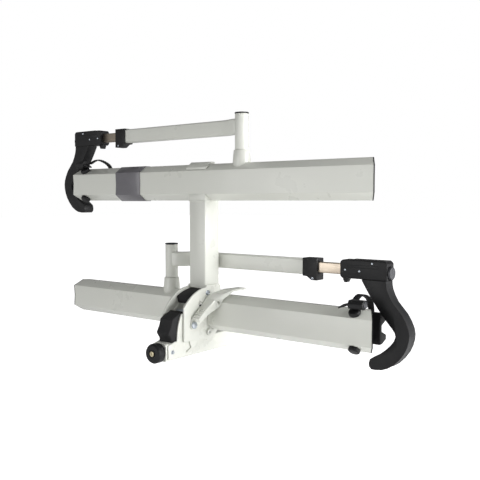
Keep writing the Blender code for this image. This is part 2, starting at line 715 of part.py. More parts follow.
def hook_set(word, side, beam_z, arm_y, rise, reach):
    arm_body = word + "_arm"
    body = word + "_bar"
    axis_y = BEAM_FRONT_Y + arm_y
    axis_z = beam_z + BEAM_HEIGHT + rise
    joint_frame(body, (side * (HEAD_LOW_X + reach), axis_y, axis_z), arm_body)
    half = HOOK_DEPTH / 2

    half_y, half_z = BAR_DEPTH / 2, BAR_HEIGHT / 2
    bore_y, bore_z = half_y - BAR_WALL, half_z - BAR_WALL
    outer = rounded_box_outline((axis_y - half_y, axis_z - half_z),
                                (axis_y + half_y, axis_z + half_z), 0.002, 1)
    inner = rounded_box_outline((axis_y - bore_y, axis_z - bore_z),
                                (axis_y + bore_y, axis_z + bore_z), 0.001, 1)
    ends = (BAR_START_X + reach, HEAD_LOW_X + reach - GAP)
    bar = hollow_loft([[to_space(p, x, "X") for p in outer] for x in ends],
                      [[to_space(p, x, "X") for p in inner] for x in ends])
    node(word + "_slide_bar", [mirrored(bar, side)], ALUMINIUM, body)

    low_x = HEAD_LOW_X + reach
    high_x = HEAD_HIGH_X + reach
    head = [(low_x, axis_z + HEAD_TOP - 0.006), (low_x + 0.006, axis_z + HEAD_TOP),
            (high_x - 0.005, axis_z + HEAD_TOP), (high_x, axis_z + HEAD_TOP - 0.006),
            (high_x, axis_z + HEAD_BOTTOM), (low_x + 0.006, axis_z + HEAD_BOTTOM),
            (low_x, axis_z + HEAD_BOTTOM + 0.006)]
    item = node(word + "_hook_head", [mirrored(prism(head, axis_y - half, axis_y + half, "Y"), side)], BLACK,
                body)
    pocket = rod((high_x, axis_y, axis_z + BUTTON_DROP), BUTTON_R + RUN_GAP, -0.009, 0.01, "X", 24)
    cut(item, word + "_button_tool", mirrored(pocket, side), body)
    under = axis_z + HEAD_BOTTOM
    notch_x = low_x + TRIGGER_X
    notch = box((notch_x, axis_y - 0.0095, under - 0.01),
                (notch_x + TRIGGER_WIDTH + 2 * RUN_GAP, axis_y + 0.0095, under + 0.012))
    cut(item, word + "_trigger_tool", mirrored(notch, side), body)

    curve = [(x + reach, axis_z + z) for x, z in hook_outline()]
    node(word + "_hook", [mirrored(prism(curve, axis_y - half, axis_y + half, "Y"), side)], BLACK, body)

    button_body = word + "_button"
    joint_frame(button_body, (side * high_x, axis_y, axis_z + BUTTON_DROP), body)
    cap = rod((high_x, axis_y, axis_z + BUTTON_DROP), BUTTON_R, -0.003, BUTTON_LONG, "X", 24)
    node(word + "_hook_button", [mirrored(cap, side)], BUTTON_GREY, button_body, smooth=True)

    trigger_body = word + "_trigger"
    joint_frame(trigger_body, (side * (notch_x + TRIGGER_WIDTH / 2), axis_y, under), body)
    x0 = notch_x + RUN_GAP
    x1 = x0 + TRIGGER_WIDTH
    nub = [(x0, under + 0.006), (x1, under + 0.006), (x1, under - 0.004), (x1 - 0.004, under - TRIGGER_DROP),
           (x0 + 0.004, under - TRIGGER_DROP), (x0, under - 0.005)]
    node(word + "_head_trigger", [mirrored(prism(nub, axis_y - 0.009, axis_y + 0.009, "Y"), side)], BLACK,
         trigger_body)


# Wheel cradle, strap and ratchet buckle at the hook end of each beam
def chamfer_disc(x, beam_z, top):
    """Disc standing square on a front chamfer; its axis is the chamfer's normal."""
    lean = math.atan2(CHAMFER_Z, CHAMFER_Y)
    sign = 1 if top else -1
    centre_y = BEAM_FRONT_Y + CHAMFER_Y / 2
    centre_z = beam_z + BEAM_HEIGHT - CHAMFER_Z / 2 if top else beam_z + CHAMFER_Z / 2
    normal = Vector((0, -math.sin(lean), sign * math.cos(lean)))
    across = Vector((0, math.cos(lean), sign * math.sin(lean)))
    centre = Vector((x, centre_y, centre_z))
    rings = []
    for height, radius in ((GAP * 2, BOSS_R), (BOSS_HEIGHT - 0.003, BOSS_R), (BOSS_HEIGHT, BOSS_R - 0.003)):
        ring = []
        for k in range(20):
            turn = 2 * math.pi * k / 20
            ring.append(tuple(centre + normal * height + Vector((radius * math.cos(turn), 0, 0))
                              + across * radius * math.sin(turn)))
        rings.append(ring)
    return loft(rings)


def cradle_set(word, side, beam_z):
    back = BEAM_FRONT_Y + BEAM_DEPTH + GAP
    mid = beam_z + BEAM_HEIGHT / 2
    far = back + CRADLE_DEPTH
    half = CRADLE_HALF_HEIGHT
    outline = [(back, mid - half), (back + 0.014, mid - half), (far, mid - half + 0.010),
               (far, mid - 0.020), (back + 0.012, mid - 0.008), (back + 0.012, mid + 0.008),
               (far, mid + 0.020), (far, mid + half - 0.010), (back + 0.014, mid + half), (back, mid + half)]
    node(word + "_cradle", [mirrored(prism(outline, CRADLE_LOW_X, CRADLE_HIGH_X, "X"), side)], BLACK, "mast")

    for place, top in (("top", True), ("bottom", False)):
        disc = mirrored(chamfer_disc(BOSS_X, beam_z, top), side)
        node(word + "_strap_boss_" + place, [disc], BLACK, "mast", smooth=True)

    top = beam_z + BEAM_HEIGHT
    front = BEAM_FRONT_Y - 0.010
    body_low = top + 0.0028
    buckle = [(front + 0.004, body_low + 0.004), (front + 0.012, body_low), (front + 0.030, body_low + 0.006),
              (front + 0.034, body_low + 0.016), (front + 0.026, body_low + 0.024),
              (front + 0.008, body_low + 0.024), (front, body_low + 0.014)]
    node(word + "_buckle", [mirrored(prism(buckle, BUCKLE_LOW_X, BUCKLE_HIGH_X, "X"), side)], BLACK, "mast")

    hinge_x = BUCKLE_LOW_X - 0.004
    hinge_z = body_low + 0.012
    lever_body = word + "_buckle_lever"
    lever_y = front + 0.010
    joint_frame(lever_body, (side * hinge_x, lever_y, hinge_z), "mast")
    barrel = 0.0036
    tongue = [(hinge_x + barrel * math.cos(t), hinge_z + barrel * math.sin(t))
              for t in (math.radians(a) for a in (-75, -40, 0, 40, 75))]
    tongue += [(hinge_x - 0.008, hinge_z + 0.001), (hinge_x - 0.024, hinge_z - 0.009),
               (hinge_x - 0.023, hinge_z - 0.0125), (hinge_x - 0.006, hinge_z - 0.006)]
    node(word + "_buckle_lever", [mirrored(prism(tongue, lever_y - 0.008, lever_y + 0.008, "Y"), side)],
         BLACK, lever_body)

    start_y = front + 0.034 + 4 * GAP
    route = smooth_curve([(start_y, body_low + 0.015), (start_y + 0.036, body_low + 0.030),
                          (far - 0.004, body_low + 0.014), (far + 0.010, mid + 0.042),
                          (far + 0.006, mid + 0.022)], 4)
    sections = []
    for i, (y, z) in enumerate(route):
        ahead = Vector(route[min(i + 1, len(route) - 1)])
        behind = Vector(route[max(i - 1, 0)])
        run = (ahead - behind).normalized()
        out_y, out_z = -run.y * STRAP_THICK / 2, run.x * STRAP_THICK / 2
        x0, x1 = STRAP_X - STRAP_WIDTH / 2, STRAP_X + STRAP_WIDTH / 2
        sections.append([(x0, y - out_y, z - out_z), (x1, y - out_y, z - out_z),
                         (x1, y + out_y, z + out_z), (x0, y + out_y, z + out_z)])
    node(word + "_wheel_strap", [mirrored(loft(sections), side)], RUBBER, "mast")


def build():
    clear_scene()
    shank()
    sector_plates()
    sector_cover()
    front_boot()
    base_hardware()
    knob_set()
    mast()
    beams()
    lever_bolt()
    lever()
    rows = (("lower", 1, LOWER_BEAM_Z, LOWER_ARM_Y, LOWER_ARM_RISE, 0.0),
            ("upper", -1, UPPER_BEAM_Z, UPPER_ARM_Y, UPPER_ARM_RISE, UPPER_EXTRA_REACH))
    for word, side, beam_z, arm_y, rise, reach in rows:
        post(word, side, beam_z)
        arm(word, side, beam_z, arm_y, rise, reach)
        hook_set(word, side, beam_z, arm_y, rise, reach)
        cradle_set(word, side, beam_z)


build()
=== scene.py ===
import json
import math

import bpy
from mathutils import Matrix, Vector


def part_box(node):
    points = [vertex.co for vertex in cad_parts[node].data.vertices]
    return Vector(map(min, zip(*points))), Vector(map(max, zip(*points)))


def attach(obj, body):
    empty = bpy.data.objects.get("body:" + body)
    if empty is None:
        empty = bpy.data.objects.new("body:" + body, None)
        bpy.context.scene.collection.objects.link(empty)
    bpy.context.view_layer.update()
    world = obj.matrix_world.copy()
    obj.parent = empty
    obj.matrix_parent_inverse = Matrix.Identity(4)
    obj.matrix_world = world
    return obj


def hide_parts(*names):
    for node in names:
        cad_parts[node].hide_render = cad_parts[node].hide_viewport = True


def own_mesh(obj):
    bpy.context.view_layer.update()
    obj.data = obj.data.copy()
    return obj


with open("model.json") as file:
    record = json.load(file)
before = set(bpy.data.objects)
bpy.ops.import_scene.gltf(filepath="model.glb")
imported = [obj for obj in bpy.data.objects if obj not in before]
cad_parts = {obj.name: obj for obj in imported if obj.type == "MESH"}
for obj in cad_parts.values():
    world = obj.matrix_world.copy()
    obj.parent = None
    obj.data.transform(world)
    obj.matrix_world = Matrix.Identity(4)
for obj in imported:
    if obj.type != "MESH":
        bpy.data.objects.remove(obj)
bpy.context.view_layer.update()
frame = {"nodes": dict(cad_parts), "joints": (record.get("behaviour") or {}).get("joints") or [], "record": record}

bl_info = {
    "name": "Folding hitch rack",
    "version": (1, 0, 0),
    "blender": (4, 5, 0),
    "location": "3D View > Sidebar > Rack",
    "description": "Dresses the packed frame of a folding two-bike hitch rack",
    "category": "Object",
}

MM = 0.001
ROUNDED = "_rounded"
# The two arms, each with the direction along X in which its hook points out
ARMS = (("lower", 1), ("upper", -1))


# Sizes and colours that a user may change
class PaintSettings(bpy.types.PropertyGroup):
    paint_colour: bpy.props.FloatVectorProperty(
        name="Paint", description="Colour of the powder coat", subtype="COLOR", size=3,
        min=0.0, max=1.0, default=(0.70, 0.71, 0.655))
    paint_roughness: bpy.props.FloatProperty(
        name="Paint roughness", description="Roughness of the powder coat", subtype="FACTOR",
        min=0.0, max=1.0, default=0.30)
    edge_radius: bpy.props.FloatProperty(
        name="Edge radius", description="Rounding of the folded and cut metal edges", unit="LENGTH",
        min=0.0002, max=0.003, default=0.0012)
    weld_radius: bpy.props.FloatProperty(
        name="Weld bead", description="Radius of the fillet welds", unit="LENGTH",
        min=0.0008, max=0.003, default=0.0014)


class FittingSettings(bpy.types.PropertyGroup):
    plastic_colour: bpy.props.FloatVectorProperty(
        name="Plastic", description="Colour of the moulded black parts", subtype="COLOR", size=3,
        min=0.0, max=1.0, default=(0.012, 0.012, 0.013))
    rivet_radius: bpy.props.FloatProperty(
        name="Rivet", description="Radius of the rivets in the hook heads", unit="LENGTH",
        min=0.001, max=0.005, default=0.0031)
    strap_tooth: bpy.props.FloatProperty(
        name="Strap tooth", description="Height of the strap's teeth", unit="LENGTH",
        min=0.0002, max=0.0015, default=0.0007)
    mould_radius: bpy.props.FloatProperty(
        name="Moulded radius", description="Rounding of the moulded parts' edges", unit="LENGTH",
        min=0.0005, max=0.004, default=0.0022)


class StageSettings(bpy.types.PropertyGroup):
    floor_drop: bpy.props.FloatProperty(
        name="Floor drop", description="Depth of the floor below the shank", unit="LENGTH",
        min=0.0, max=2.0, default=0.46)
    key_power: bpy.props.FloatProperty(
        name="Key light", description="Power of the large light on the right", unit="POWER",
        min=0.0, max=500.0, default=155.0)
    front_power: bpy.props.FloatProperty(
        name="Front light", description="Power of the large light in front", unit="POWER",
        min=0.0, max=500.0, default=50.0)
    lens: bpy.props.FloatProperty(
        name="Lens", description="Focal length of the camera", subtype="DISTANCE_CAMERA",
        min=20.0, max=200.0, default=51.0)


def paint():
    return bpy.context.scene.rack_paint


def fitting():
    return bpy.context.scene.rack_fitting


def stage_values():
    return bpy.context.scene.rack_stage


# Shared effects
def new_group(name, inputs, outputs):
    group = bpy.data.node_groups.new(name, "ShaderNodeTree")
    for label, kind, default in inputs:
        socket = group.interface.new_socket(name=label, in_out="INPUT", socket_type=kind)
        socket.default_value = default
    for label, kind in outputs:
        group.interface.new_socket(name=label, in_out="OUTPUT", socket_type=kind)
    return group, group.nodes.new("NodeGroupInput"), group.nodes.new("NodeGroupOutput")


def add(tree, kind, values=None, **settings):
    node = tree.nodes.new(kind)
    for key, value in settings.items():
        setattr(node, key, value)
    for key, value in (values or {}).items():
        node.inputs[key].default_value = value
    return node


def ramp(tree, factor, low, high, low_value=0.0, high_value=1.0):
    """Maps a value from low..high to low_value..high_value, clamped."""
    node = add(tree, "ShaderNodeMapRange", {"From Min": low, "From Max": high,
                                            "To Min": low_value, "To Max": high_value})
    tree.links.new(factor, node.inputs["Value"])
    return node.outputs["Result"]


def surface_grain():
    """Fine moulded or sprayed texture: a height, and a slow variation in gloss."""
    name = "surface_grain"
    if name in bpy.data.node_groups:
        return bpy.data.node_groups[name]
    inputs = [("Scale", "NodeSocketFloat", 900.0), ("Cloud", "NodeSocketFloat", 9.0)]
    outputs = [("Height", "NodeSocketFloat"), ("Variation", "NodeSocketFloat")]
    group, start, end = new_group(name, inputs, outputs)
    place = add(group, "ShaderNodeTexCoord")
    fine = add(group, "ShaderNodeTexNoise", {"Detail": 3.0, "Roughness": 0.55})
    cloud = add(group, "ShaderNodeTexNoise", {"Detail": 4.0, "Roughness": 0.6})
    for texture, label in ((fine, "Scale"), (cloud, "Cloud")):
        group.links.new(place.outputs["Object"], texture.inputs["Vector"])
        group.links.new(start.outputs[label], texture.inputs["Scale"])
    group.links.new(fine.outputs["Fac"], end.inputs["Height"])
    group.links.new(ramp(group, cloud.outputs["Fac"], 0.35, 0.65), end.inputs["Variation"])
    return group


def fine_scuffs():
    """Thin scattered scratches along one direction, as a mask."""
    name = "fine_scuffs"
    if name in bpy.data.node_groups:
        return bpy.data.node_groups[name]
    inputs = [("Stretch", "NodeSocketVector", (12.0, 160.0, 160.0)), ("Amount", "NodeSocketFloat", 0.64)]
    group, start, end = new_group(name, inputs, [("Mask", "NodeSocketFloat")])
    place = add(group, "ShaderNodeTexCoord")
    scale = add(group, "ShaderNodeVectorMath", operation="MULTIPLY")
    noise = add(group, "ShaderNodeTexNoise", {"Scale": 2.0, "Detail": 5.0, "Roughness": 0.7})
    group.links.new(place.outputs["Object"], scale.inputs[0])
    group.links.new(start.outputs["Stretch"], scale.inputs[1])
    group.links.new(scale.outputs["Vector"], noise.inputs["Vector"])
    edge = add(group, "ShaderNodeMath", operation="SUBTRACT", use_clamp=True)
    group.links.new(noise.outputs["Fac"], edge.inputs[0])
    group.links.new(start.outputs["Amount"], edge.inputs[1])
    group.links.new(ramp(group, edge.outputs["Value"], 0.0, 0.08), end.inputs["Mask"])
    return group


def mix_colour(tree, factor, first, second):
    node = add(tree, "ShaderNodeMix", data_type="RGBA")
    tree.links.new(factor, node.inputs["Factor"])
    node.inputs[6].default_value = (*first, 1.0)
    node.inputs[7].default_value = (*second, 1.0)
    return node


def tinted(colour, share):
    return tuple(min(1.0, channel * share) for channel in colour)


BUMP_DISTANCE = 0.6 * MM


def finish(name, colour, roughness, metallic=0.0, grain=900.0, depth=0.05, spread=0.06, shade=0.94,
           scuff=None, scuff_share=1.15, stretch=(12.0, 160.0, 160.0), coat=0.0, specular=0.5):
    """A grained finish whose colour and gloss vary slowly, with fine scuffs if they are asked for."""
    if name in bpy.data.materials:
        return bpy.data.materials[name]
    made = bpy.data.materials.new(name)
    made.use_nodes = True
    tree = made.node_tree
    shader = tree.nodes["Principled BSDF"]
    shader.inputs["Metallic"].default_value = metallic
    shader.inputs["Coat Weight"].default_value = coat
    shader.inputs["Specular IOR Level"].default_value = specular
    texture = add(tree, "ShaderNodeGroup", node_tree=surface_grain())
    texture.inputs["Scale"].default_value = grain
    tone = mix_colour(tree, texture.outputs["Variation"], tinted(colour, shade), colour)
    last = tone.outputs[2]
    if scuff is not None:
        marks = add(tree, "ShaderNodeGroup", node_tree=fine_scuffs())
        marks.inputs["Stretch"].default_value = stretch
        marks.inputs["Amount"].default_value = scuff
        worn = mix_colour(tree, marks.outputs["Mask"], colour, tinted(colour, scuff_share))
        tree.links.new(last, worn.inputs[6])
        last = worn.outputs[2]
    tree.links.new(last, shader.inputs["Base Color"])
    half = spread / 2
    gloss = ramp(tree, texture.outputs["Variation"], 0.0, 1.0, roughness + half, roughness - half)
    tree.links.new(gloss, shader.inputs["Roughness"])
    bump = add(tree, "ShaderNodeBump", {"Strength": depth, "Distance": BUMP_DISTANCE})
    tree.links.new(texture.outputs["Height"], bump.inputs["Height"])
    tree.links.new(bump.outputs["Normal"], shader.inputs["Normal"])
    return made


def looks():
    """Every finish on the rack, by the record's slot."""
    plastic = tuple(fitting().plastic_colour)
    coat = tuple(paint().paint_colour)
    return {
        "white_paint": finish("rack_paint", coat, paint().paint_roughness, grain=420.0, depth=0.08,
                              shade=0.99, coat=0.2),
        "zinc": finish("rack_zinc", (0.56, 0.60, 0.66), 0.28, metallic=1.0, grain=1500.0, shade=0.8,
                       scuff=0.60, stretch=(160.0, 160.0, 20.0)),
        "steel": finish("rack_steel", (0.42, 0.42, 0.43), 0.42, metallic=1.0, grain=700.0, shade=0.75,
                        scuff=0.58, stretch=(150.0, 12.0, 150.0)),
        "brass": finish("rack_brass", (0.70, 0.62, 0.42), 0.30, metallic=1.0, grain=1200.0, shade=0.85),
        "aluminium": finish("rack_aluminium", (0.50, 0.43, 0.35), 0.34, metallic=1.0, grain=600.0,
                            depth=0.03, shade=0.82, scuff=0.55, scuff_share=1.25),
        "grey_sleeve": finish("rack_sleeve", (0.150, 0.145, 0.160), 0.33, grain=260.0, depth=0.05,
                              shade=0.82, coat=0.35),
        "rubber": finish("rack_rubber", (0.016, 0.016, 0.017), 0.72, grain=500.0, depth=0.25,
                         shade=0.75, specular=0.35),
        "button_grey": finish("rack_button", (0.055, 0.056, 0.062), 0.48, grain=1300.0, depth=0.14,
                              shade=0.85),
        "black_plastic": finish("rack_plastic", plastic, 0.46, grain=1100.0, depth=0.20, shade=0.70,
                                specular=0.28),
    }


# Making pieces by hand
def clear_selection():
    if bpy.context.mode != "OBJECT":
        bpy.ops.object.mode_set(mode="OBJECT")
    bpy.ops.object.select_all(action="DESELECT")


def pick(item):
    clear_selection()
    item.select_set(True)
    bpy.context.view_layer.objects.active = item


def settle(item, name):
    """Names the active piece and moves its place into its mesh."""
    item.name = name
    item.data.name = name
    pick(item)
    bpy.ops.object.transform_apply(location=True, rotation=True, scale=True)
    return item


def apply_all(item):
    pick(item)
    for modifier in list(item.modifiers):
        bpy.ops.object.modifier_apply(modifier=modifier.name)


def round_edges(item, width, segments=2, angle=28.0):
    rounding = item.modifiers.new("rounding", "BEVEL")
    rounding.width = width
    rounding.segments = segments
    rounding.limit_method = "ANGLE"
    rounding.angle_limit = math.radians(angle)
    rounding.use_clamp_overlap = True
    apply_all(item)


def smooth_by_angle(item, angle=35.0):
    pick(item)
    bpy.ops.object.shade_smooth_by_angle(angle=math.radians(angle))


def wear(item, slot):
    item.data.materials.clear()
    item.data.materials.append(looks()[slot])


def place_on(item, body, slot, *nodes):
    """Gives a finished piece its material and body, and hides the nodes it stands for."""
    wear(item, slot)
    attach(item, body)
    if nodes:
        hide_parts(*nodes)
    return item


def body_of(node):
    for body, members in frame["record"]["behaviour"]["bodies"].items():
        if node in members:
            return body
    raise ValueError("no body holds " + node)


def joint_place(name):
    for joint in frame["joints"]:
        if joint["name"] == name:
            return joint["pos_m"]
    raise ValueError("no joint is named " + name)


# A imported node's corners closer than this are one, and its faces within this angle are one flat face
MERGE_GAP = 0.02 * MM
FLAT_ANGLE = math.radians(0.6)


def copy_of(node, name):
    """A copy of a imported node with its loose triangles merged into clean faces."""
    source = frame["nodes"][node]
    item = bpy.data.objects.new(name, source.data.copy())
    bpy.context.scene.collection.objects.link(item)
    item.data.name = name
    pick(item)
    bpy.ops.object.mode_set(mode="EDIT")
    bpy.ops.mesh.select_all(action="SELECT")
    bpy.ops.mesh.remove_doubles(threshold=MERGE_GAP)
    bpy.ops.mesh.customdata_custom_splitnormals_clear()
    bpy.ops.mesh.dissolve_limited(angle_limit=FLAT_ANGLE)
    bpy.ops.object.mode_set(mode="OBJECT")
    return item


def rounded_copy(node, slot, width, segments=2, angle=28.0):
    item = copy_of(node, node + ROUNDED)
    round_edges(item, width, segments, angle)
    smooth_by_angle(item)
    return place_on(item, body_of(node), slot, node)


def disc(name, centre, radius, thickness, axis, sides=24, bevel=0.0):
    """A short cylinder with its axis along X or Y, its rim rounded where a bevel is given."""
    turns = {"X": (0.0, math.pi / 2, 0.0), "Y": (math.pi / 2, 0.0, 0.0)}
    clear_selection()
    bpy.ops.mesh.primitive_cylinder_add(vertices=sides, radius=radius, depth=thickness,
                                        location=centre, rotation=turns[axis])
    item = settle(bpy.context.active_object, name)
    if bevel:
        round_edges(item, bevel, 2, 50.0)
    smooth_by_angle(item)
    return item


def hexagon(name, centre, radius, thickness):
    """A six-sided prism with its axis along X."""
    clear_selection()
    bpy.ops.mesh.primitive_cylinder_add(vertices=6, radius=radius, depth=thickness,
                                        location=centre, rotation=(0, math.pi / 2, 0))
    return settle(bpy.context.active_object, name)


def block(name, low, high, bevel):
    """A rounded block between two corners."""
    low, high = Vector(low), Vector(high)
    clear_selection()
    bpy.ops.mesh.primitive_cube_add(size=1.0, location=(low + high) / 2)
    item = bpy.context.active_object
    item.scale = high - low
    settle(item, name)
    round_edges(item, bevel, 2)
    smooth_by_angle(item)
    return item


def join(items, name):
    clear_selection()
    for item in items:
        item.select_set(True)
    bpy.context.view_layer.objects.active = items[0]
    bpy.ops.object.join()
    items[0].name = name
    items[0].data.name = name
    return items[0]


def start_picking(item, kind):
    """Leaves nothing selected on a piece, so that code can select elements of one kind."""
    pick(item)
    bpy.ops.object.mode_set(mode="EDIT")
    bpy.ops.mesh.select_mode(type=kind)
    bpy.ops.mesh.select_all(action="DESELECT")
    bpy.ops.object.mode_set(mode="OBJECT")


# Least likeness, in direction and in area, of a face that counts as the one looked for
ALIKE = 0.9


def recess_face(item, normal, inset, depth):
    """Insets the flat face that points along normal and sinks it."""
    start_picking(item, "FACE")
    direction = Vector(normal)
    facing = [face for face in item.data.polygons if face.normal.dot(direction) > ALIKE]
    largest = max(face.area for face in facing)
    for face in facing:
        face.select = face.area > ALIKE * largest
    bpy.ops.object.mode_set(mode="EDIT")
    bpy.ops.mesh.inset(thickness=inset, depth=0.0)
    bpy.ops.mesh.extrude_region_move(TRANSFORM_OT_translate={"value": tuple(-direction * depth)})
    bpy.ops.object.mode_set(mode="OBJECT")


class RackOperator(bpy.types.Operator):
    bl_options = {"REGISTER", "UNDO"}


# Painted steel
PAINTED = ("hitch_shank", "sector_plate_left", "sector_plate_right", "fork_plate_left",
           "fork_plate_right", "mast_tube", "upper_beam", "lower_beam_left", "lower_beam_right",
           "beam_saddle", "release_lever", "lever_cheek", "shank_end_plug",
           "lower_arm_tube", "upper_arm_tube", "lower_post_cup", "upper_post_cup",
           "lower_post_tube", "upper_post_tube")


class RACK_OT_painted_steel(RackOperator):
    """Round the edges of the painted tubes and plates and give them their powder coat"""
    bl_idname = "rack.painted_steel"
    bl_label = "Painted steel"

    def execute(self, context):
        radius = paint().edge_radius
        for node in PAINTED:
            rounded_copy(node, "white_paint", radius)
        return {"FINISHED"}


# Bare metal
METAL = (("stop_bar", "zinc"), ("lever_bolt", "zinc"), ("latch_pin", "zinc"),
         ("drive_rod", "steel"), ("wedge_block", "steel"), ("key_cylinder", "brass"),
         ("lower_slide_bar", "aluminium"), ("upper_slide_bar", "aluminium"))
METAL_EDGE = 0.6 * MM
PIVOT_RECESS_INSET = 6.4 * MM
PIVOT_RECESS_DEPTH = 2.5 * MM
SOCKET_RADIUS = 3.9 * MM
SOCKET_THICK = 0.6 * MM
SOCKET_SUNK = 2.2 * MM


class RACK_OT_metal_fittings(RackOperator):
    """Round the edges of the bare bolts, bars and lock and give them their metals"""
    bl_idname = "rack.metal_fittings"
    bl_label = "Metal fittings"

    def execute(self, context):
        for node, slot in METAL:
            rounded_copy(node, slot, METAL_EDGE)
        self.pivot_socket()
        return {"FINISHED"}

    def pivot_socket(self):
        """The painted pivot bolt, its right head sunk round a dark hexagon socket."""
        bolt = rounded_copy("pivot_bolt", "white_paint", METAL_EDGE)
        recess_face(bolt, (1, 0, 0), PIVOT_RECESS_INSET, PIVOT_RECESS_DEPTH)
        low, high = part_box("pivot_bolt")
        centre = (high.x - SOCKET_SUNK, (low.y + high.y) / 2, (low.z + high.z) / 2)
        socket = hexagon("pivot_socket", centre, SOCKET_RADIUS, SOCKET_THICK)
        place_on(socket, body_of("pivot_bolt"), "steel")


# Moulded parts
MOULDED = ("upper_cap_left", "upper_cap_right", "lower_cap_left", "lower_cap_right",
           "lower_post_cap", "upper_post_cap", "lower_arm_collar", "upper_arm_collar",
           "lower_cradle", "upper_cradle", "lower_strap_boss_top", "upper_strap_boss_top",
           "lower_strap_boss_bottom", "upper_strap_boss_bottom", "lower_buckle", "upper_buckle",
           "lower_buckle_lever", "upper_buckle_lever", "lower_head_trigger", "upper_head_trigger",
           "hitch_knob")
MOULDED_EDGE = 1.0 * MM
BUTTON_EDGE = 1.6 * MM
BAND_EDGE = 0.4 * MM
COVER_EDGE = 0.8 * MM
# Channel along the hook's outer rim, and where on the hook it runs
RIM_INSET = 7.0 * MM
RIM_DEPTH = 1.6 * MM
RIM_EDGE = 1.4 * MM
RIM_FROM_TOP = 3 * MM
RIM_FROM_ROOT = 40 * MM
TOE_SHARE = 0.30
# Limits on a rim face's normal: outwards, down at the toe, and to the sides
RIM_OUTWARD = 0.25
TOE_DOWNWARD = -0.3
RIM_SIDEWAYS = 0.2


class RACK_OT_moulded_parts(RackOperator):
    """Round the edges of the black mouldings, the band and the buttons"""
    bl_idname = "rack.moulded_parts"
    bl_label = "Moulded parts"

    def execute(self, context):
        for node in MOULDED:
            rounded_copy(node, "black_plastic", MOULDED_EDGE)
        for word, side in ARMS:
            rounded_copy(word + "_hook_head", "black_plastic", fitting().mould_radius, 3, 40.0)
            self.channelled_hook(word, side)
        for word, _ in ARMS:
            rounded_copy(word + "_hook_button", "button_grey", BUTTON_EDGE, 3)
        rounded_copy("beam_band", "grey_sleeve", BAND_EDGE)
        rounded_copy("sector_cover", "rubber", COVER_EDGE)
        return {"FINISHED"}

    def channelled_hook(self, word, side):
        """The hook with a shallow channel sunk along its outer rim."""
        node = word + "_hook"
        item = copy_of(node, node + ROUNDED)
        low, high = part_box(node)
        inner_x = low.x if side > 0 else high.x
        toe_z = low.z + TOE_SHARE * (high.z - low.z)
        start_picking(item, "FACE")
        for face in item.data.polygons:
            outward = face.normal.x * side > RIM_OUTWARD
            below = face.normal.z < TOE_DOWNWARD and face.center.z < toe_z
            rim = abs(face.normal.y) < RIM_SIDEWAYS and face.center.z < high.z - RIM_FROM_TOP
            far = abs(face.center.x - inner_x) > RIM_FROM_ROOT
            face.select = rim and far and (outward or below)
        bpy.ops.object.mode_set(mode="EDIT")
        bpy.ops.mesh.inset(thickness=RIM_INSET, depth=-RIM_DEPTH)
        bpy.ops.object.mode_set(mode="OBJECT")
        round_edges(item, RIM_EDGE, 2, 30.0)
        smooth_by_angle(item)
        place_on(item, body_of(node), "black_plastic", node)


# Rubber boot and straps
BOOT_EDGE = 3.0 * MM
STRAP_THICK = 0.0032
STRAP_EDGE = 0.0008
STRAP_ROUNDING = 0.3 * MM
START_THICK = 0.1 * MM
# Middle of the strap's loop, as shares of its box, then the steps from one route point to the next
# and the steps in one tooth and gap
STRAP_TURN = (0.4, 0.1)
TOOTH_STEPS = 5
TOOTH_CYCLE = 4


def strap_route(node):
    """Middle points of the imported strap, from its buckle end round to the cradle."""
    low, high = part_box(node)
    corners = frame["nodes"][node].data.vertices
    outline = sorted({(round(corner.co.y, 5), round(corner.co.z, 5)) for corner in corners})
    turn_y = low.y + STRAP_TURN[0] * (high.y - low.y)
    turn_z = low.z + STRAP_TURN[1] * (high.z - low.z)
    around = sorted(outline, key=lambda place: math.atan2(place[0] - turn_y, place[1] - turn_z))
    pairs = zip(around[0::2], around[1::2])
    return [((first[0] + second[0]) / 2, (first[1] + second[1]) / 2) for first, second in pairs]


def toothed_strap(word):
    """A band swept along the strap's route in short steps, two in every four raised as a tooth."""
    node = word + "_wheel_strap"
    low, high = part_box(node)
    route = strap_route(node)
    stations = []
    for first, second in zip(route, route[1:]):
        for step in range(TOOTH_STEPS):
            share = step / TOOTH_STEPS
            stations.append((first[0] + (second[0] - first[0]) * share,
                             first[1] + (second[1] - first[1]) * share))
    stations.append(route[-1])
    clear_selection()
    bpy.ops.mesh.primitive_plane_add(size=1.0, location=((low.x + high.x) / 2, *stations[0]))
    item = bpy.context.active_object
    item.scale = (high.x - low.x - 2 * STRAP_EDGE, START_THICK, 1.0)
    settle(item, word + "_strap_toothed")
    start_y = stations[0][0]
    start_picking(item, "VERT")
    for vertex in item.data.vertices:
        vertex.select = vertex.co.y > start_y
    bpy.ops.object.mode_set(mode="EDIT")
    raised = 0.0
    for index, (before, after) in enumerate(zip(stations, stations[1:])):
        tooth = fitting().strap_tooth if index % TOOTH_CYCLE in (1, 2) else 0.0
        move = (0.0, after[0] - before[0], after[1] - before[1] + tooth - raised)
        raised = tooth
        bpy.ops.mesh.extrude_region_move(TRANSFORM_OT_translate={"value": move})
    bpy.ops.mesh.select_all(action="SELECT")
    bpy.ops.mesh.normals_make_consistent(inside=False)
    bpy.ops.object.mode_set(mode="OBJECT")
    wall = item.modifiers.new("wall", "SOLIDIFY")
    wall.thickness = STRAP_THICK
    wall.offset = 0.0
    apply_all(item)
    round_edges(item, STRAP_ROUNDING, 1, 50.0)
    smooth_by_angle(item, 50.0)
    place_on(item, "mast", "rubber", node)


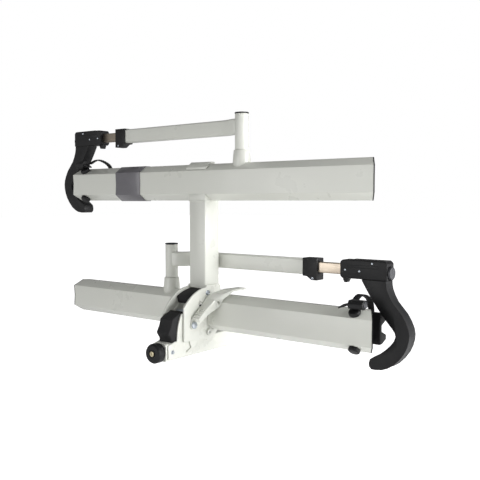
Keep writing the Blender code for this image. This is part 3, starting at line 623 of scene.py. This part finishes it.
class RACK_OT_soft_parts(RackOperator):
    """Replace the plain boot and straps by their finished forms"""
    bl_idname = "rack.soft_parts"
    bl_label = "Boot and straps"

    def execute(self, context):
        boot = rounded_copy("front_boot", "rubber", BOOT_EDGE, 3, 14.0)
        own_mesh(boot)
        for word, _ in ARMS:
            toothed_strap(word)
        return {"FINISHED"}


# Bolts, rivets and screws
WASHER_SHARE = 1.35
WASHER_THICK = 1.2 * MM
WASHER_SIDES = 28
WASHER_EDGE = 0.3 * MM
HEAD_THICK = 3.4 * MM
HEAD_MIDDLE = 2.9 * MM
HEAD_RIM_SHARE = 0.38
HEAD_RECESS = 1.2 * MM
HEAD_EDGE = 0.4 * MM
RIVET_HEIGHT = 1.3 * MM
# Bolts: how far behind the shank's front, and the fork bolt's place from the fold pivot
SHANK_BOLT_BACK = 0.022
SHANK_BOLT_RADIUS = 4.6 * MM
FORK_BOLT = (-0.004, 0.119)
FORK_BOLT_RADIUS = 6.2 * MM
# Rivets: along the hook head from its inner end, and up from the bar's axis
RIVETS = ((0.0155, 0.0), (0.058, -0.002), (0.095, 0.020))
# Collar screw: in from the collar's outer end, and up from its underside
COLLAR_SCREW_IN = 0.014
COLLAR_SCREW_UP = 0.0055
COLLAR_SCREW_RADIUS = 3.2 * MM
COLLAR_SCREW_THICK = 1.6 * MM
COLLAR_SCREW_EDGE = 0.4 * MM
SCREW_RIM = 1.8 * MM
SCREW_RECESS = 0.8 * MM


def hex_bolt(name, centre, radius, out, body):
    """Washer, hexagon head and socket recess on a face whose outward direction is along X."""
    x, y, z = centre
    washer_place = (x + out * WASHER_THICK / 2, y, z)
    washer = disc(name + "_washer", washer_place, radius * WASHER_SHARE, WASHER_THICK, "X",
                  WASHER_SIDES, WASHER_EDGE)
    head = hexagon(name + "_head", (x + out * HEAD_MIDDLE, y, z), radius, HEAD_THICK)
    recess_face(head, (out, 0, 0), radius * HEAD_RIM_SHARE, HEAD_RECESS)
    round_edges(head, HEAD_EDGE, 2)
    smooth_by_angle(head)
    return place_on(join([washer, head], name), body, "zinc")


def dome(name, centre, radius, height, body, slot):
    """A domed rivet head on a face that points towards -Y, its rim let into the face."""
    clear_selection()
    bpy.ops.mesh.primitive_uv_sphere_add(segments=20, ring_count=10, radius=1.0, location=centre)
    item = bpy.context.active_object
    item.scale = (radius, height, radius)
    settle(item, name)
    bpy.ops.object.mode_set(mode="EDIT")
    bpy.ops.mesh.select_all(action="SELECT")
    bpy.ops.mesh.bisect(plane_co=centre, plane_no=(0, 1, 0), use_fill=True, clear_outer=True)
    bpy.ops.object.mode_set(mode="OBJECT")
    smooth_by_angle(item, 50.0)
    return place_on(item, body, slot)


class RACK_OT_fasteners(RackOperator):
    """Add the bolts of the quadrant, the rivets of the hook heads and the collar screws"""
    bl_idname = "rack.fasteners"
    bl_label = "Fasteners"

    def execute(self, context):
        shank_low, shank_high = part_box("hitch_shank")
        bolt_y = shank_low.y + SHANK_BOLT_BACK
        middle = (shank_low.z + shank_high.z) / 2
        for word, out in (("left", -1), ("right", 1)):
            low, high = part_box("sector_plate_" + word)
            face = high.x if out > 0 else low.x
            hex_bolt("shank_bolt_" + word, (face, bolt_y, middle), SHANK_BOLT_RADIUS, out, "base")
        pivot = joint_place("mast_fold")
        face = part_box("fork_plate_right")[1].x
        fork_place = (face, pivot[1] + FORK_BOLT[0], pivot[2] + FORK_BOLT[1])
        hex_bolt("fork_bolt", fork_place, FORK_BOLT_RADIUS, 1, "mast")
        for word, side in ARMS:
            self.head_rivets(word, side)
            self.collar_screw(word, side)
        return {"FINISHED"}

    def head_rivets(self, word, side):
        """The rivets on the front of a hook head."""
        low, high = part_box(word + "_hook_head")
        bar_low, bar_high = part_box(word + "_slide_bar")
        axis_z = (bar_low.z + bar_high.z) / 2
        inner = low.x if side > 0 else high.x
        for index, (along, up) in enumerate(RIVETS):
            name = f"{word}_head_rivet_{index + 1}"
            place = (inner + side * along, low.y, axis_z + up)
            dome(name, place, fitting().rivet_radius, RIVET_HEIGHT, word + "_bar", "zinc")

    def collar_screw(self, word, side):
        """The socket screw near the outer end of an arm's collar."""
        low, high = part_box(word + "_arm_collar")
        outer = high.x if side > 0 else low.x
        place = (outer - side * COLLAR_SCREW_IN, low.y, low.z + COLLAR_SCREW_UP)
        screw = disc(word + "_collar_screw", place, COLLAR_SCREW_RADIUS, COLLAR_SCREW_THICK, "Y",
                     bevel=COLLAR_SCREW_EDGE)
        recess_face(screw, (0, -1, 0), SCREW_RIM, SCREW_RECESS)
        place_on(screw, word + "_arm", "zinc")


# Welds and small steel details
# Chamfer of the beams' long corners, across their depth and down their height
BEAM_CHAMFER = (0.027, 0.020)
BEAD_RIPPLE = 0.18
BEAD_STEP = 0.0022
POST_BEAD_POINTS = 48
POST_BEAD_OUT = 0.3 * MM
POST_BEAD_UP = 0.2 * MM
BEAM_BEAD_OUT = 0.4 * MM
# Gusset: its room below the beam, its depth at the thin edge, and its rounding
GUSSET_ROOM = 0.6 * MM
GUSSET_THIN = 1.6 * MM
GUSSET_EDGE = 0.8 * MM


def weld_bead(name, corners, body, closed=True):
    """A rippled fillet bead along a path of points."""
    path = [Vector(p) for p in corners]
    if closed:
        path.append(path[0])
    stations = []
    for first, second in zip(path, path[1:]):
        count = max(1, round((second - first).length / BEAD_STEP))
        stations += [first.lerp(second, k / count) for k in range(count)]
    if not closed:
        stations.append(path[-1])
    data = bpy.data.curves.new(name, "CURVE")
    data.dimensions = "3D"
    data.bevel_depth = paint().weld_radius
    data.bevel_resolution = 2
    data.use_fill_caps = True
    spline = data.splines.new("POLY")
    spline.points.add(len(stations) - 1)
    spline.use_cyclic_u = closed
    for index, (point, station) in enumerate(zip(spline.points, stations)):
        point.co = (*station, 1.0)
        point.radius = 1.0 - BEAD_RIPPLE * (index % 2)
    item = bpy.data.objects.new(name, data)
    bpy.context.scene.collection.objects.link(item)
    pick(item)
    bpy.ops.object.convert(target="MESH")
    item = bpy.context.active_object
    item.name = name
    smooth_by_angle(item, 60.0)
    return place_on(item, body, "white_paint")


def beam_surface_drop(offset, flat_half):
    """How far the beam's top falls away at a distance across from its middle."""
    beyond = max(0.0, abs(offset) - flat_half)
    return beyond * BEAM_CHAMFER[1] / BEAM_CHAMFER[0]


class RACK_OT_welds(RackOperator):
    """Add the fillet welds of the posts, mast and beam halves, and the gusset under the upper beam"""
    bl_idname = "rack.welds"
    bl_label = "Welds and gusset"

    def execute(self, context):
        for word, _ in ARMS:
            self.post_weld(word)
        self.beam_welds()
        self.mast_head()
        return {"FINISHED"}

    def post_weld(self, word):
        """The bead round a post cup, which follows the beam's chamfered top."""
        low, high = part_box(word + "_post_cup")
        beam = "upper_beam" if word == "upper" else "lower_beam_left"
        beam_low, beam_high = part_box(beam)
        centre_x, centre_y = (low.x + high.x) / 2, (low.y + high.y) / 2
        radius = (high.x - low.x) / 2 + POST_BEAD_OUT
        flat_half = (beam_high.y - beam_low.y) / 2 - BEAM_CHAMFER[0]
        points = []
        for step in range(POST_BEAD_POINTS):
            turn = 2 * math.pi * step / POST_BEAD_POINTS
            across = radius * math.sin(turn)
            surface_z = beam_high.z - beam_surface_drop(across, flat_half)
            x = centre_x + radius * math.cos(turn)
            points.append((x, centre_y + across, surface_z + POST_BEAD_UP))
        weld_bead(word + "_post_weld", points, "mast")

    def beam_welds(self):
        """The beads that join the lower beam's halves to the fork plates."""
        for word in ("left", "right"):
            low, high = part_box("lower_beam_" + word)
            plate_low, plate_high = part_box("fork_plate_" + word)
            x = plate_high.x + BEAM_BEAD_OUT if word == "right" else plate_low.x - BEAM_BEAD_OUT
            deep, tall = BEAM_CHAMFER
            points = [(x, low.y, high.z - tall), (x, low.y + deep, high.z), (x, high.y - deep, high.z)]
            weld_bead("beam_weld_" + word, points, "mast", closed=False)
            points = [(x, low.y, low.z + tall), (x, low.y + deep, low.z), (x, high.y - deep, low.z)]
            weld_bead("beam_weld_low_" + word, points, "mast", closed=False)

    def mast_head(self):
        """The wedge-shaped gusset between mast and upper beam, and the bead round the mast's top."""
        low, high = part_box("mast_tube")
        deep, tall = BEAM_CHAMFER
        clear_selection()
        bpy.ops.mesh.primitive_cube_add(size=1.0, location=(0, low.y + deep / 2, high.z + tall / 2))
        item = bpy.context.active_object
        item.scale = (high.x - low.x, deep, tall - GUSSET_ROOM)
        settle(item, "mast_head_gusset")
        middle = Vector((0, low.y + deep / 2, high.z + tall / 2))
        start_picking(item, "VERT")
        for vertex in item.data.vertices:
            vertex.select = vertex.co.y > middle.y and vertex.co.z > middle.z
        bpy.ops.object.mode_set(mode="EDIT")
        bpy.ops.transform.translate(value=(0, 0, -tall + GUSSET_THIN))
        bpy.ops.object.mode_set(mode="OBJECT")
        round_edges(item, GUSSET_EDGE)
        smooth_by_angle(item)
        place_on(item, "mast", "white_paint")
        seam = [(low.x, low.y, high.z), (high.x, low.y, high.z),
                (high.x, high.y, high.z), (low.x, high.y, high.z)]
        weld_bead("mast_head_weld", seam, "mast")


# Lever ribs, head lids and buckle discs
# The pad's ends, along Y and Z from the fold pivot, and the ribs' places between them
PAD_LOW = (-0.079, 0.054)
PAD_HIGH = (-0.046, 0.080)
PAD_RIBS = (0.14, 0.34, 0.54, 0.74, 0.94)
RIB_SPAN = (0.046, 0.0665)
RIB_WIDTH = 3.4 * MM
RIB_HEIGHT = 6.4 * MM
RIB_EDGE = 0.7 * MM
# The hole's middle: along X, and along Y and Z from the fold pivot
SKIRT_HOLE = (0.0885, -0.0120, 0.0955)
SKIRT_HOLE_RADIUS = 3.6 * MM
SKIRT_HOLE_REACH = 24 * MM
SKIRT_HOLE_SIDES = 20
# Lid on the hook head's top: in from its inner, outer and side edges, and down and up from the top
LID_INNER = 30 * MM
LID_OUTER = 5 * MM
LID_SIDES = 3 * MM
LID_SUNK = 2 * MM
LID_PROUD = 1.6 * MM
LID_EDGE = 1.2 * MM
# Raised panel on its front
PANEL_INNER = 20 * MM
PANEL_OUTER = 22 * MM
PANEL_PROUD = 0.9 * MM
PANEL_SUNK = 1.0 * MM
PANEL_BELOW_TOP = (21 * MM, 13 * MM)
PANEL_EDGE = 0.8 * MM
BUCKLE_DISC_RADIUS = 8.0 * MM
BUCKLE_DISC_THICK = 3.0 * MM
BUCKLE_DISC_UP = 1 * MM
BUCKLE_DISC_EDGE = 0.8 * MM
BUCKLE_DISC_RIM = 3.0 * MM
BUCKLE_DISC_RECESS = 0.9 * MM


class RACK_OT_grips(RackOperator):
    """Add the ribs on the lever's pad, the lids on the hook heads and the discs on the buckles"""
    bl_idname = "rack.grips"
    bl_label = "Grips and lids"

    def execute(self, context):
        self.lever_hole()
        self.lever_ribs()
        for word, side in ARMS:
            self.head_panels(word, side)
            self.buckle_disc(word, side)
        return {"FINISHED"}

    def lever_hole(self):
        """Cuts the round hole through the skirt of the finished lever."""
        lever = bpy.data.objects["release_lever" + ROUNDED]
        pivot = joint_place("mast_fold")
        centre = (SKIRT_HOLE[0], pivot[1] + SKIRT_HOLE[1], pivot[2] + SKIRT_HOLE[2])
        tool = disc("skirt_hole_tool", centre, SKIRT_HOLE_RADIUS, SKIRT_HOLE_REACH, "Y",
                    SKIRT_HOLE_SIDES)
        hole = lever.modifiers.new("hole", "BOOLEAN")
        hole.operation = "DIFFERENCE"
        hole.solver = "EXACT"
        hole.object = tool
        apply_all(lever)
        bpy.data.objects.remove(tool, do_unlink=True)

    def lever_ribs(self):
        """Rounded ribs across the sloping pad of the lever."""
        pivot = joint_place("mast_fold")
        slope = math.atan2(PAD_HIGH[1] - PAD_LOW[1], PAD_HIGH[0] - PAD_LOW[0])
        middle_x = (RIB_SPAN[0] + RIB_SPAN[1]) / 2
        ribs = []
        for index, share in enumerate(PAD_RIBS):
            y = pivot[1] + PAD_LOW[0] + (PAD_HIGH[0] - PAD_LOW[0]) * share
            z = pivot[2] + PAD_LOW[1] + (PAD_HIGH[1] - PAD_LOW[1]) * share
            clear_selection()
            bpy.ops.mesh.primitive_cube_add(size=1.0, location=(middle_x, y, z), rotation=(slope, 0, 0))
            rib = bpy.context.active_object
            rib.scale = (RIB_SPAN[1] - RIB_SPAN[0], RIB_WIDTH, RIB_HEIGHT)
            settle(rib, f"lever_rib_{index + 1}")
            round_edges(rib, RIB_EDGE, 2)
            smooth_by_angle(rib)
            ribs.append(rib)
        place_on(join(ribs, "lever_ribs"), "lever", "white_paint")

    def head_panels(self, word, side):
        """The lid on a hook head's top and the raised panel on its front."""
        low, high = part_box(word + "_hook_head")
        inner, outer = (low.x, high.x) if side > 0 else (high.x, low.x)
        left, right = sorted((inner + side * LID_INNER, outer - side * LID_OUTER))
        lid = block(word + "_head_lid", (left, low.y + LID_SIDES, high.z - LID_SUNK),
                    (right, high.y - LID_SIDES, high.z + LID_PROUD), LID_EDGE)
        place_on(lid, word + "_bar", "black_plastic")
        left, right = sorted((inner + side * PANEL_INNER, outer - side * PANEL_OUTER))
        panel = block(word + "_head_panel", (left, low.y - PANEL_PROUD, high.z - PANEL_BELOW_TOP[0]),
                      (right, low.y + PANEL_SUNK, high.z - PANEL_BELOW_TOP[1]), PANEL_EDGE)
        place_on(panel, word + "_bar", "black_plastic")

    def buckle_disc(self, word, side):
        """The recessed disc on a buckle's outer end."""
        low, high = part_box(word + "_buckle")
        outer = high.x if side > 0 else low.x
        place = (outer, (low.y + high.y) / 2, (low.z + high.z) / 2 + BUCKLE_DISC_UP)
        knob = disc(word + "_buckle_disc", place, BUCKLE_DISC_RADIUS, BUCKLE_DISC_THICK, "X",
                    bevel=BUCKLE_DISC_EDGE)
        recess_face(knob, (side, 0, 0), BUCKLE_DISC_RIM, BUCKLE_DISC_RECESS)
        place_on(knob, "mast", "button_grey")


# Floor, light and camera
FLOOR_SIZE = 60.0
# Glow of the floor as it is seen, and as it lights the rack
FLOOR_SEEN = 1.0
FLOOR_CAST = 0.20
# Strength of the sky's light low down and high up, and the heights between which it changes
SKY_LOW = 0.52
SKY_HIGH = 0.20
SKY_HEIGHTS = (-0.25, 0.55)
# Lamps: place, aim and size
KEY_LAMP = ((3.4, 0.25, 0.8), (0, -0.35, 0.35), 2.0)
FRONT_LAMP = ((-1.0, -4.2, 0.45), (0, -0.35, 0.3), 2.8)
SENSOR_WIDTH = 36.0
CAMERA_PLACE = (1.366, -1.928, 0.459)
CAMERA_PITCH = 3.32
CAMERA_AZIMUTH = 38.0


def floor_finish():
    made = bpy.data.materials.new("rack_floor")
    made.use_nodes = True
    shader = made.node_tree.nodes["Principled BSDF"]
    shader.inputs["Base Color"].default_value = (0.94, 0.94, 0.94, 1.0)
    shader.inputs["Roughness"].default_value = 0.9
    shader.inputs["Specular IOR Level"].default_value = 0.1
    shader.inputs["Emission Color"].default_value = (1.0, 1.0, 1.0, 1.0)
    path = add(made.node_tree, "ShaderNodeLightPath")
    glow = ramp(made.node_tree, path.outputs["Is Camera Ray"], 0.0, 1.0, FLOOR_CAST, FLOOR_SEEN)
    made.node_tree.links.new(glow, shader.inputs["Emission Strength"])
    return made


def light_world():
    world = bpy.data.worlds.new("studio")
    bpy.context.scene.world = world
    world.use_nodes = True
    tree = world.node_tree
    tree.nodes.clear()
    seen = add(tree, "ShaderNodeBackground", {"Color": (1, 1, 1, 1), "Strength": 1.0})
    cast = add(tree, "ShaderNodeBackground", {"Color": (1, 1, 1, 1)})
    place = add(tree, "ShaderNodeTexCoord")
    split = add(tree, "ShaderNodeSeparateXYZ")
    tree.links.new(place.outputs["Generated"], split.inputs[0])
    strength = ramp(tree, split.outputs["Z"], *SKY_HEIGHTS, SKY_LOW, SKY_HIGH)
    tree.links.new(strength, cast.inputs["Strength"])
    path = add(tree, "ShaderNodeLightPath")
    mix = add(tree, "ShaderNodeMixShader")
    out = add(tree, "ShaderNodeOutputWorld")
    tree.links.new(path.outputs["Is Camera Ray"], mix.inputs[0])
    tree.links.new(cast.outputs[0], mix.inputs[1])
    tree.links.new(seen.outputs[0], mix.inputs[2])
    tree.links.new(mix.outputs[0], out.inputs["Surface"])


def lamp(name, place, target, size, power):
    data = bpy.data.lights.new(name, "AREA")
    data.size = size
    data.energy = power
    item = bpy.data.objects.new(name, data)
    bpy.context.scene.collection.objects.link(item)
    item.location = place
    item.rotation_euler = (Vector(target) - Vector(place)).to_track_quat("-Z", "Y").to_euler()


def view_camera(lens):
    data = bpy.data.cameras.new("photo_camera")
    data.lens = lens
    data.sensor_width = SENSOR_WIDTH
    item = bpy.data.objects.new("photo_camera", data)
    bpy.context.scene.collection.objects.link(item)
    item.location = CAMERA_PLACE
    item.rotation_euler = (math.radians(90 - CAMERA_PITCH), 0, math.radians(CAMERA_AZIMUTH))
    bpy.context.scene.camera = item


class RACK_OT_stage(RackOperator):
    """Add the pale floor, the soft lights and the camera"""
    bl_idname = "rack.stage"
    bl_label = "Stage"

    def execute(self, context):
        values = stage_values()
        clear_selection()
        bpy.ops.mesh.primitive_plane_add(size=FLOOR_SIZE, location=(0, 0, -values.floor_drop))
        floor = settle(bpy.context.active_object, "floor")
        floor.data.materials.append(floor_finish())
        light_world()
        lamp("key_light", *KEY_LAMP, values.key_power)
        lamp("front_light", *FRONT_LAMP, values.front_power)
        view_camera(values.lens)
        context.scene.view_settings.view_transform = "Standard"
        return {"FINISHED"}


OPERATORS = (RACK_OT_painted_steel, RACK_OT_metal_fittings, RACK_OT_moulded_parts, RACK_OT_soft_parts,
             RACK_OT_fasteners, RACK_OT_welds, RACK_OT_grips, RACK_OT_stage)


class RACK_PT_sidebar(bpy.types.Panel):
    bl_label = "Rack"
    bl_idname = "RACK_PT_sidebar"
    bl_space_type = "VIEW_3D"
    bl_region_type = "UI"
    bl_category = "Rack"

    def draw(self, context):
        for settings in (paint(), fitting(), stage_values()):
            for key in settings.__annotations__:
                self.layout.prop(settings, key)
        for operator in OPERATORS:
            self.layout.operator(operator.bl_idname)


SETTINGS = (PaintSettings, FittingSettings, StageSettings)
CLASSES = SETTINGS + OPERATORS + (RACK_PT_sidebar,)


def register():
    for item in CLASSES:
        bpy.utils.register_class(item)
    bpy.types.Scene.rack_paint = bpy.props.PointerProperty(type=PaintSettings)
    bpy.types.Scene.rack_fitting = bpy.props.PointerProperty(type=FittingSettings)
    bpy.types.Scene.rack_stage = bpy.props.PointerProperty(type=StageSettings)


def unregister():
    del bpy.types.Scene.rack_stage
    del bpy.types.Scene.rack_fitting
    del bpy.types.Scene.rack_paint
    for item in reversed(CLASSES):
        bpy.utils.unregister_class(item)


def main():
    register()
    bpy.ops.rack.painted_steel()
    bpy.ops.rack.metal_fittings()
    bpy.ops.rack.moulded_parts()
    bpy.ops.rack.soft_parts()
    bpy.ops.rack.fasteners()
    bpy.ops.rack.welds()
    bpy.ops.rack.grips()
    bpy.ops.rack.stage()


if __name__ == "__main__":
    main()
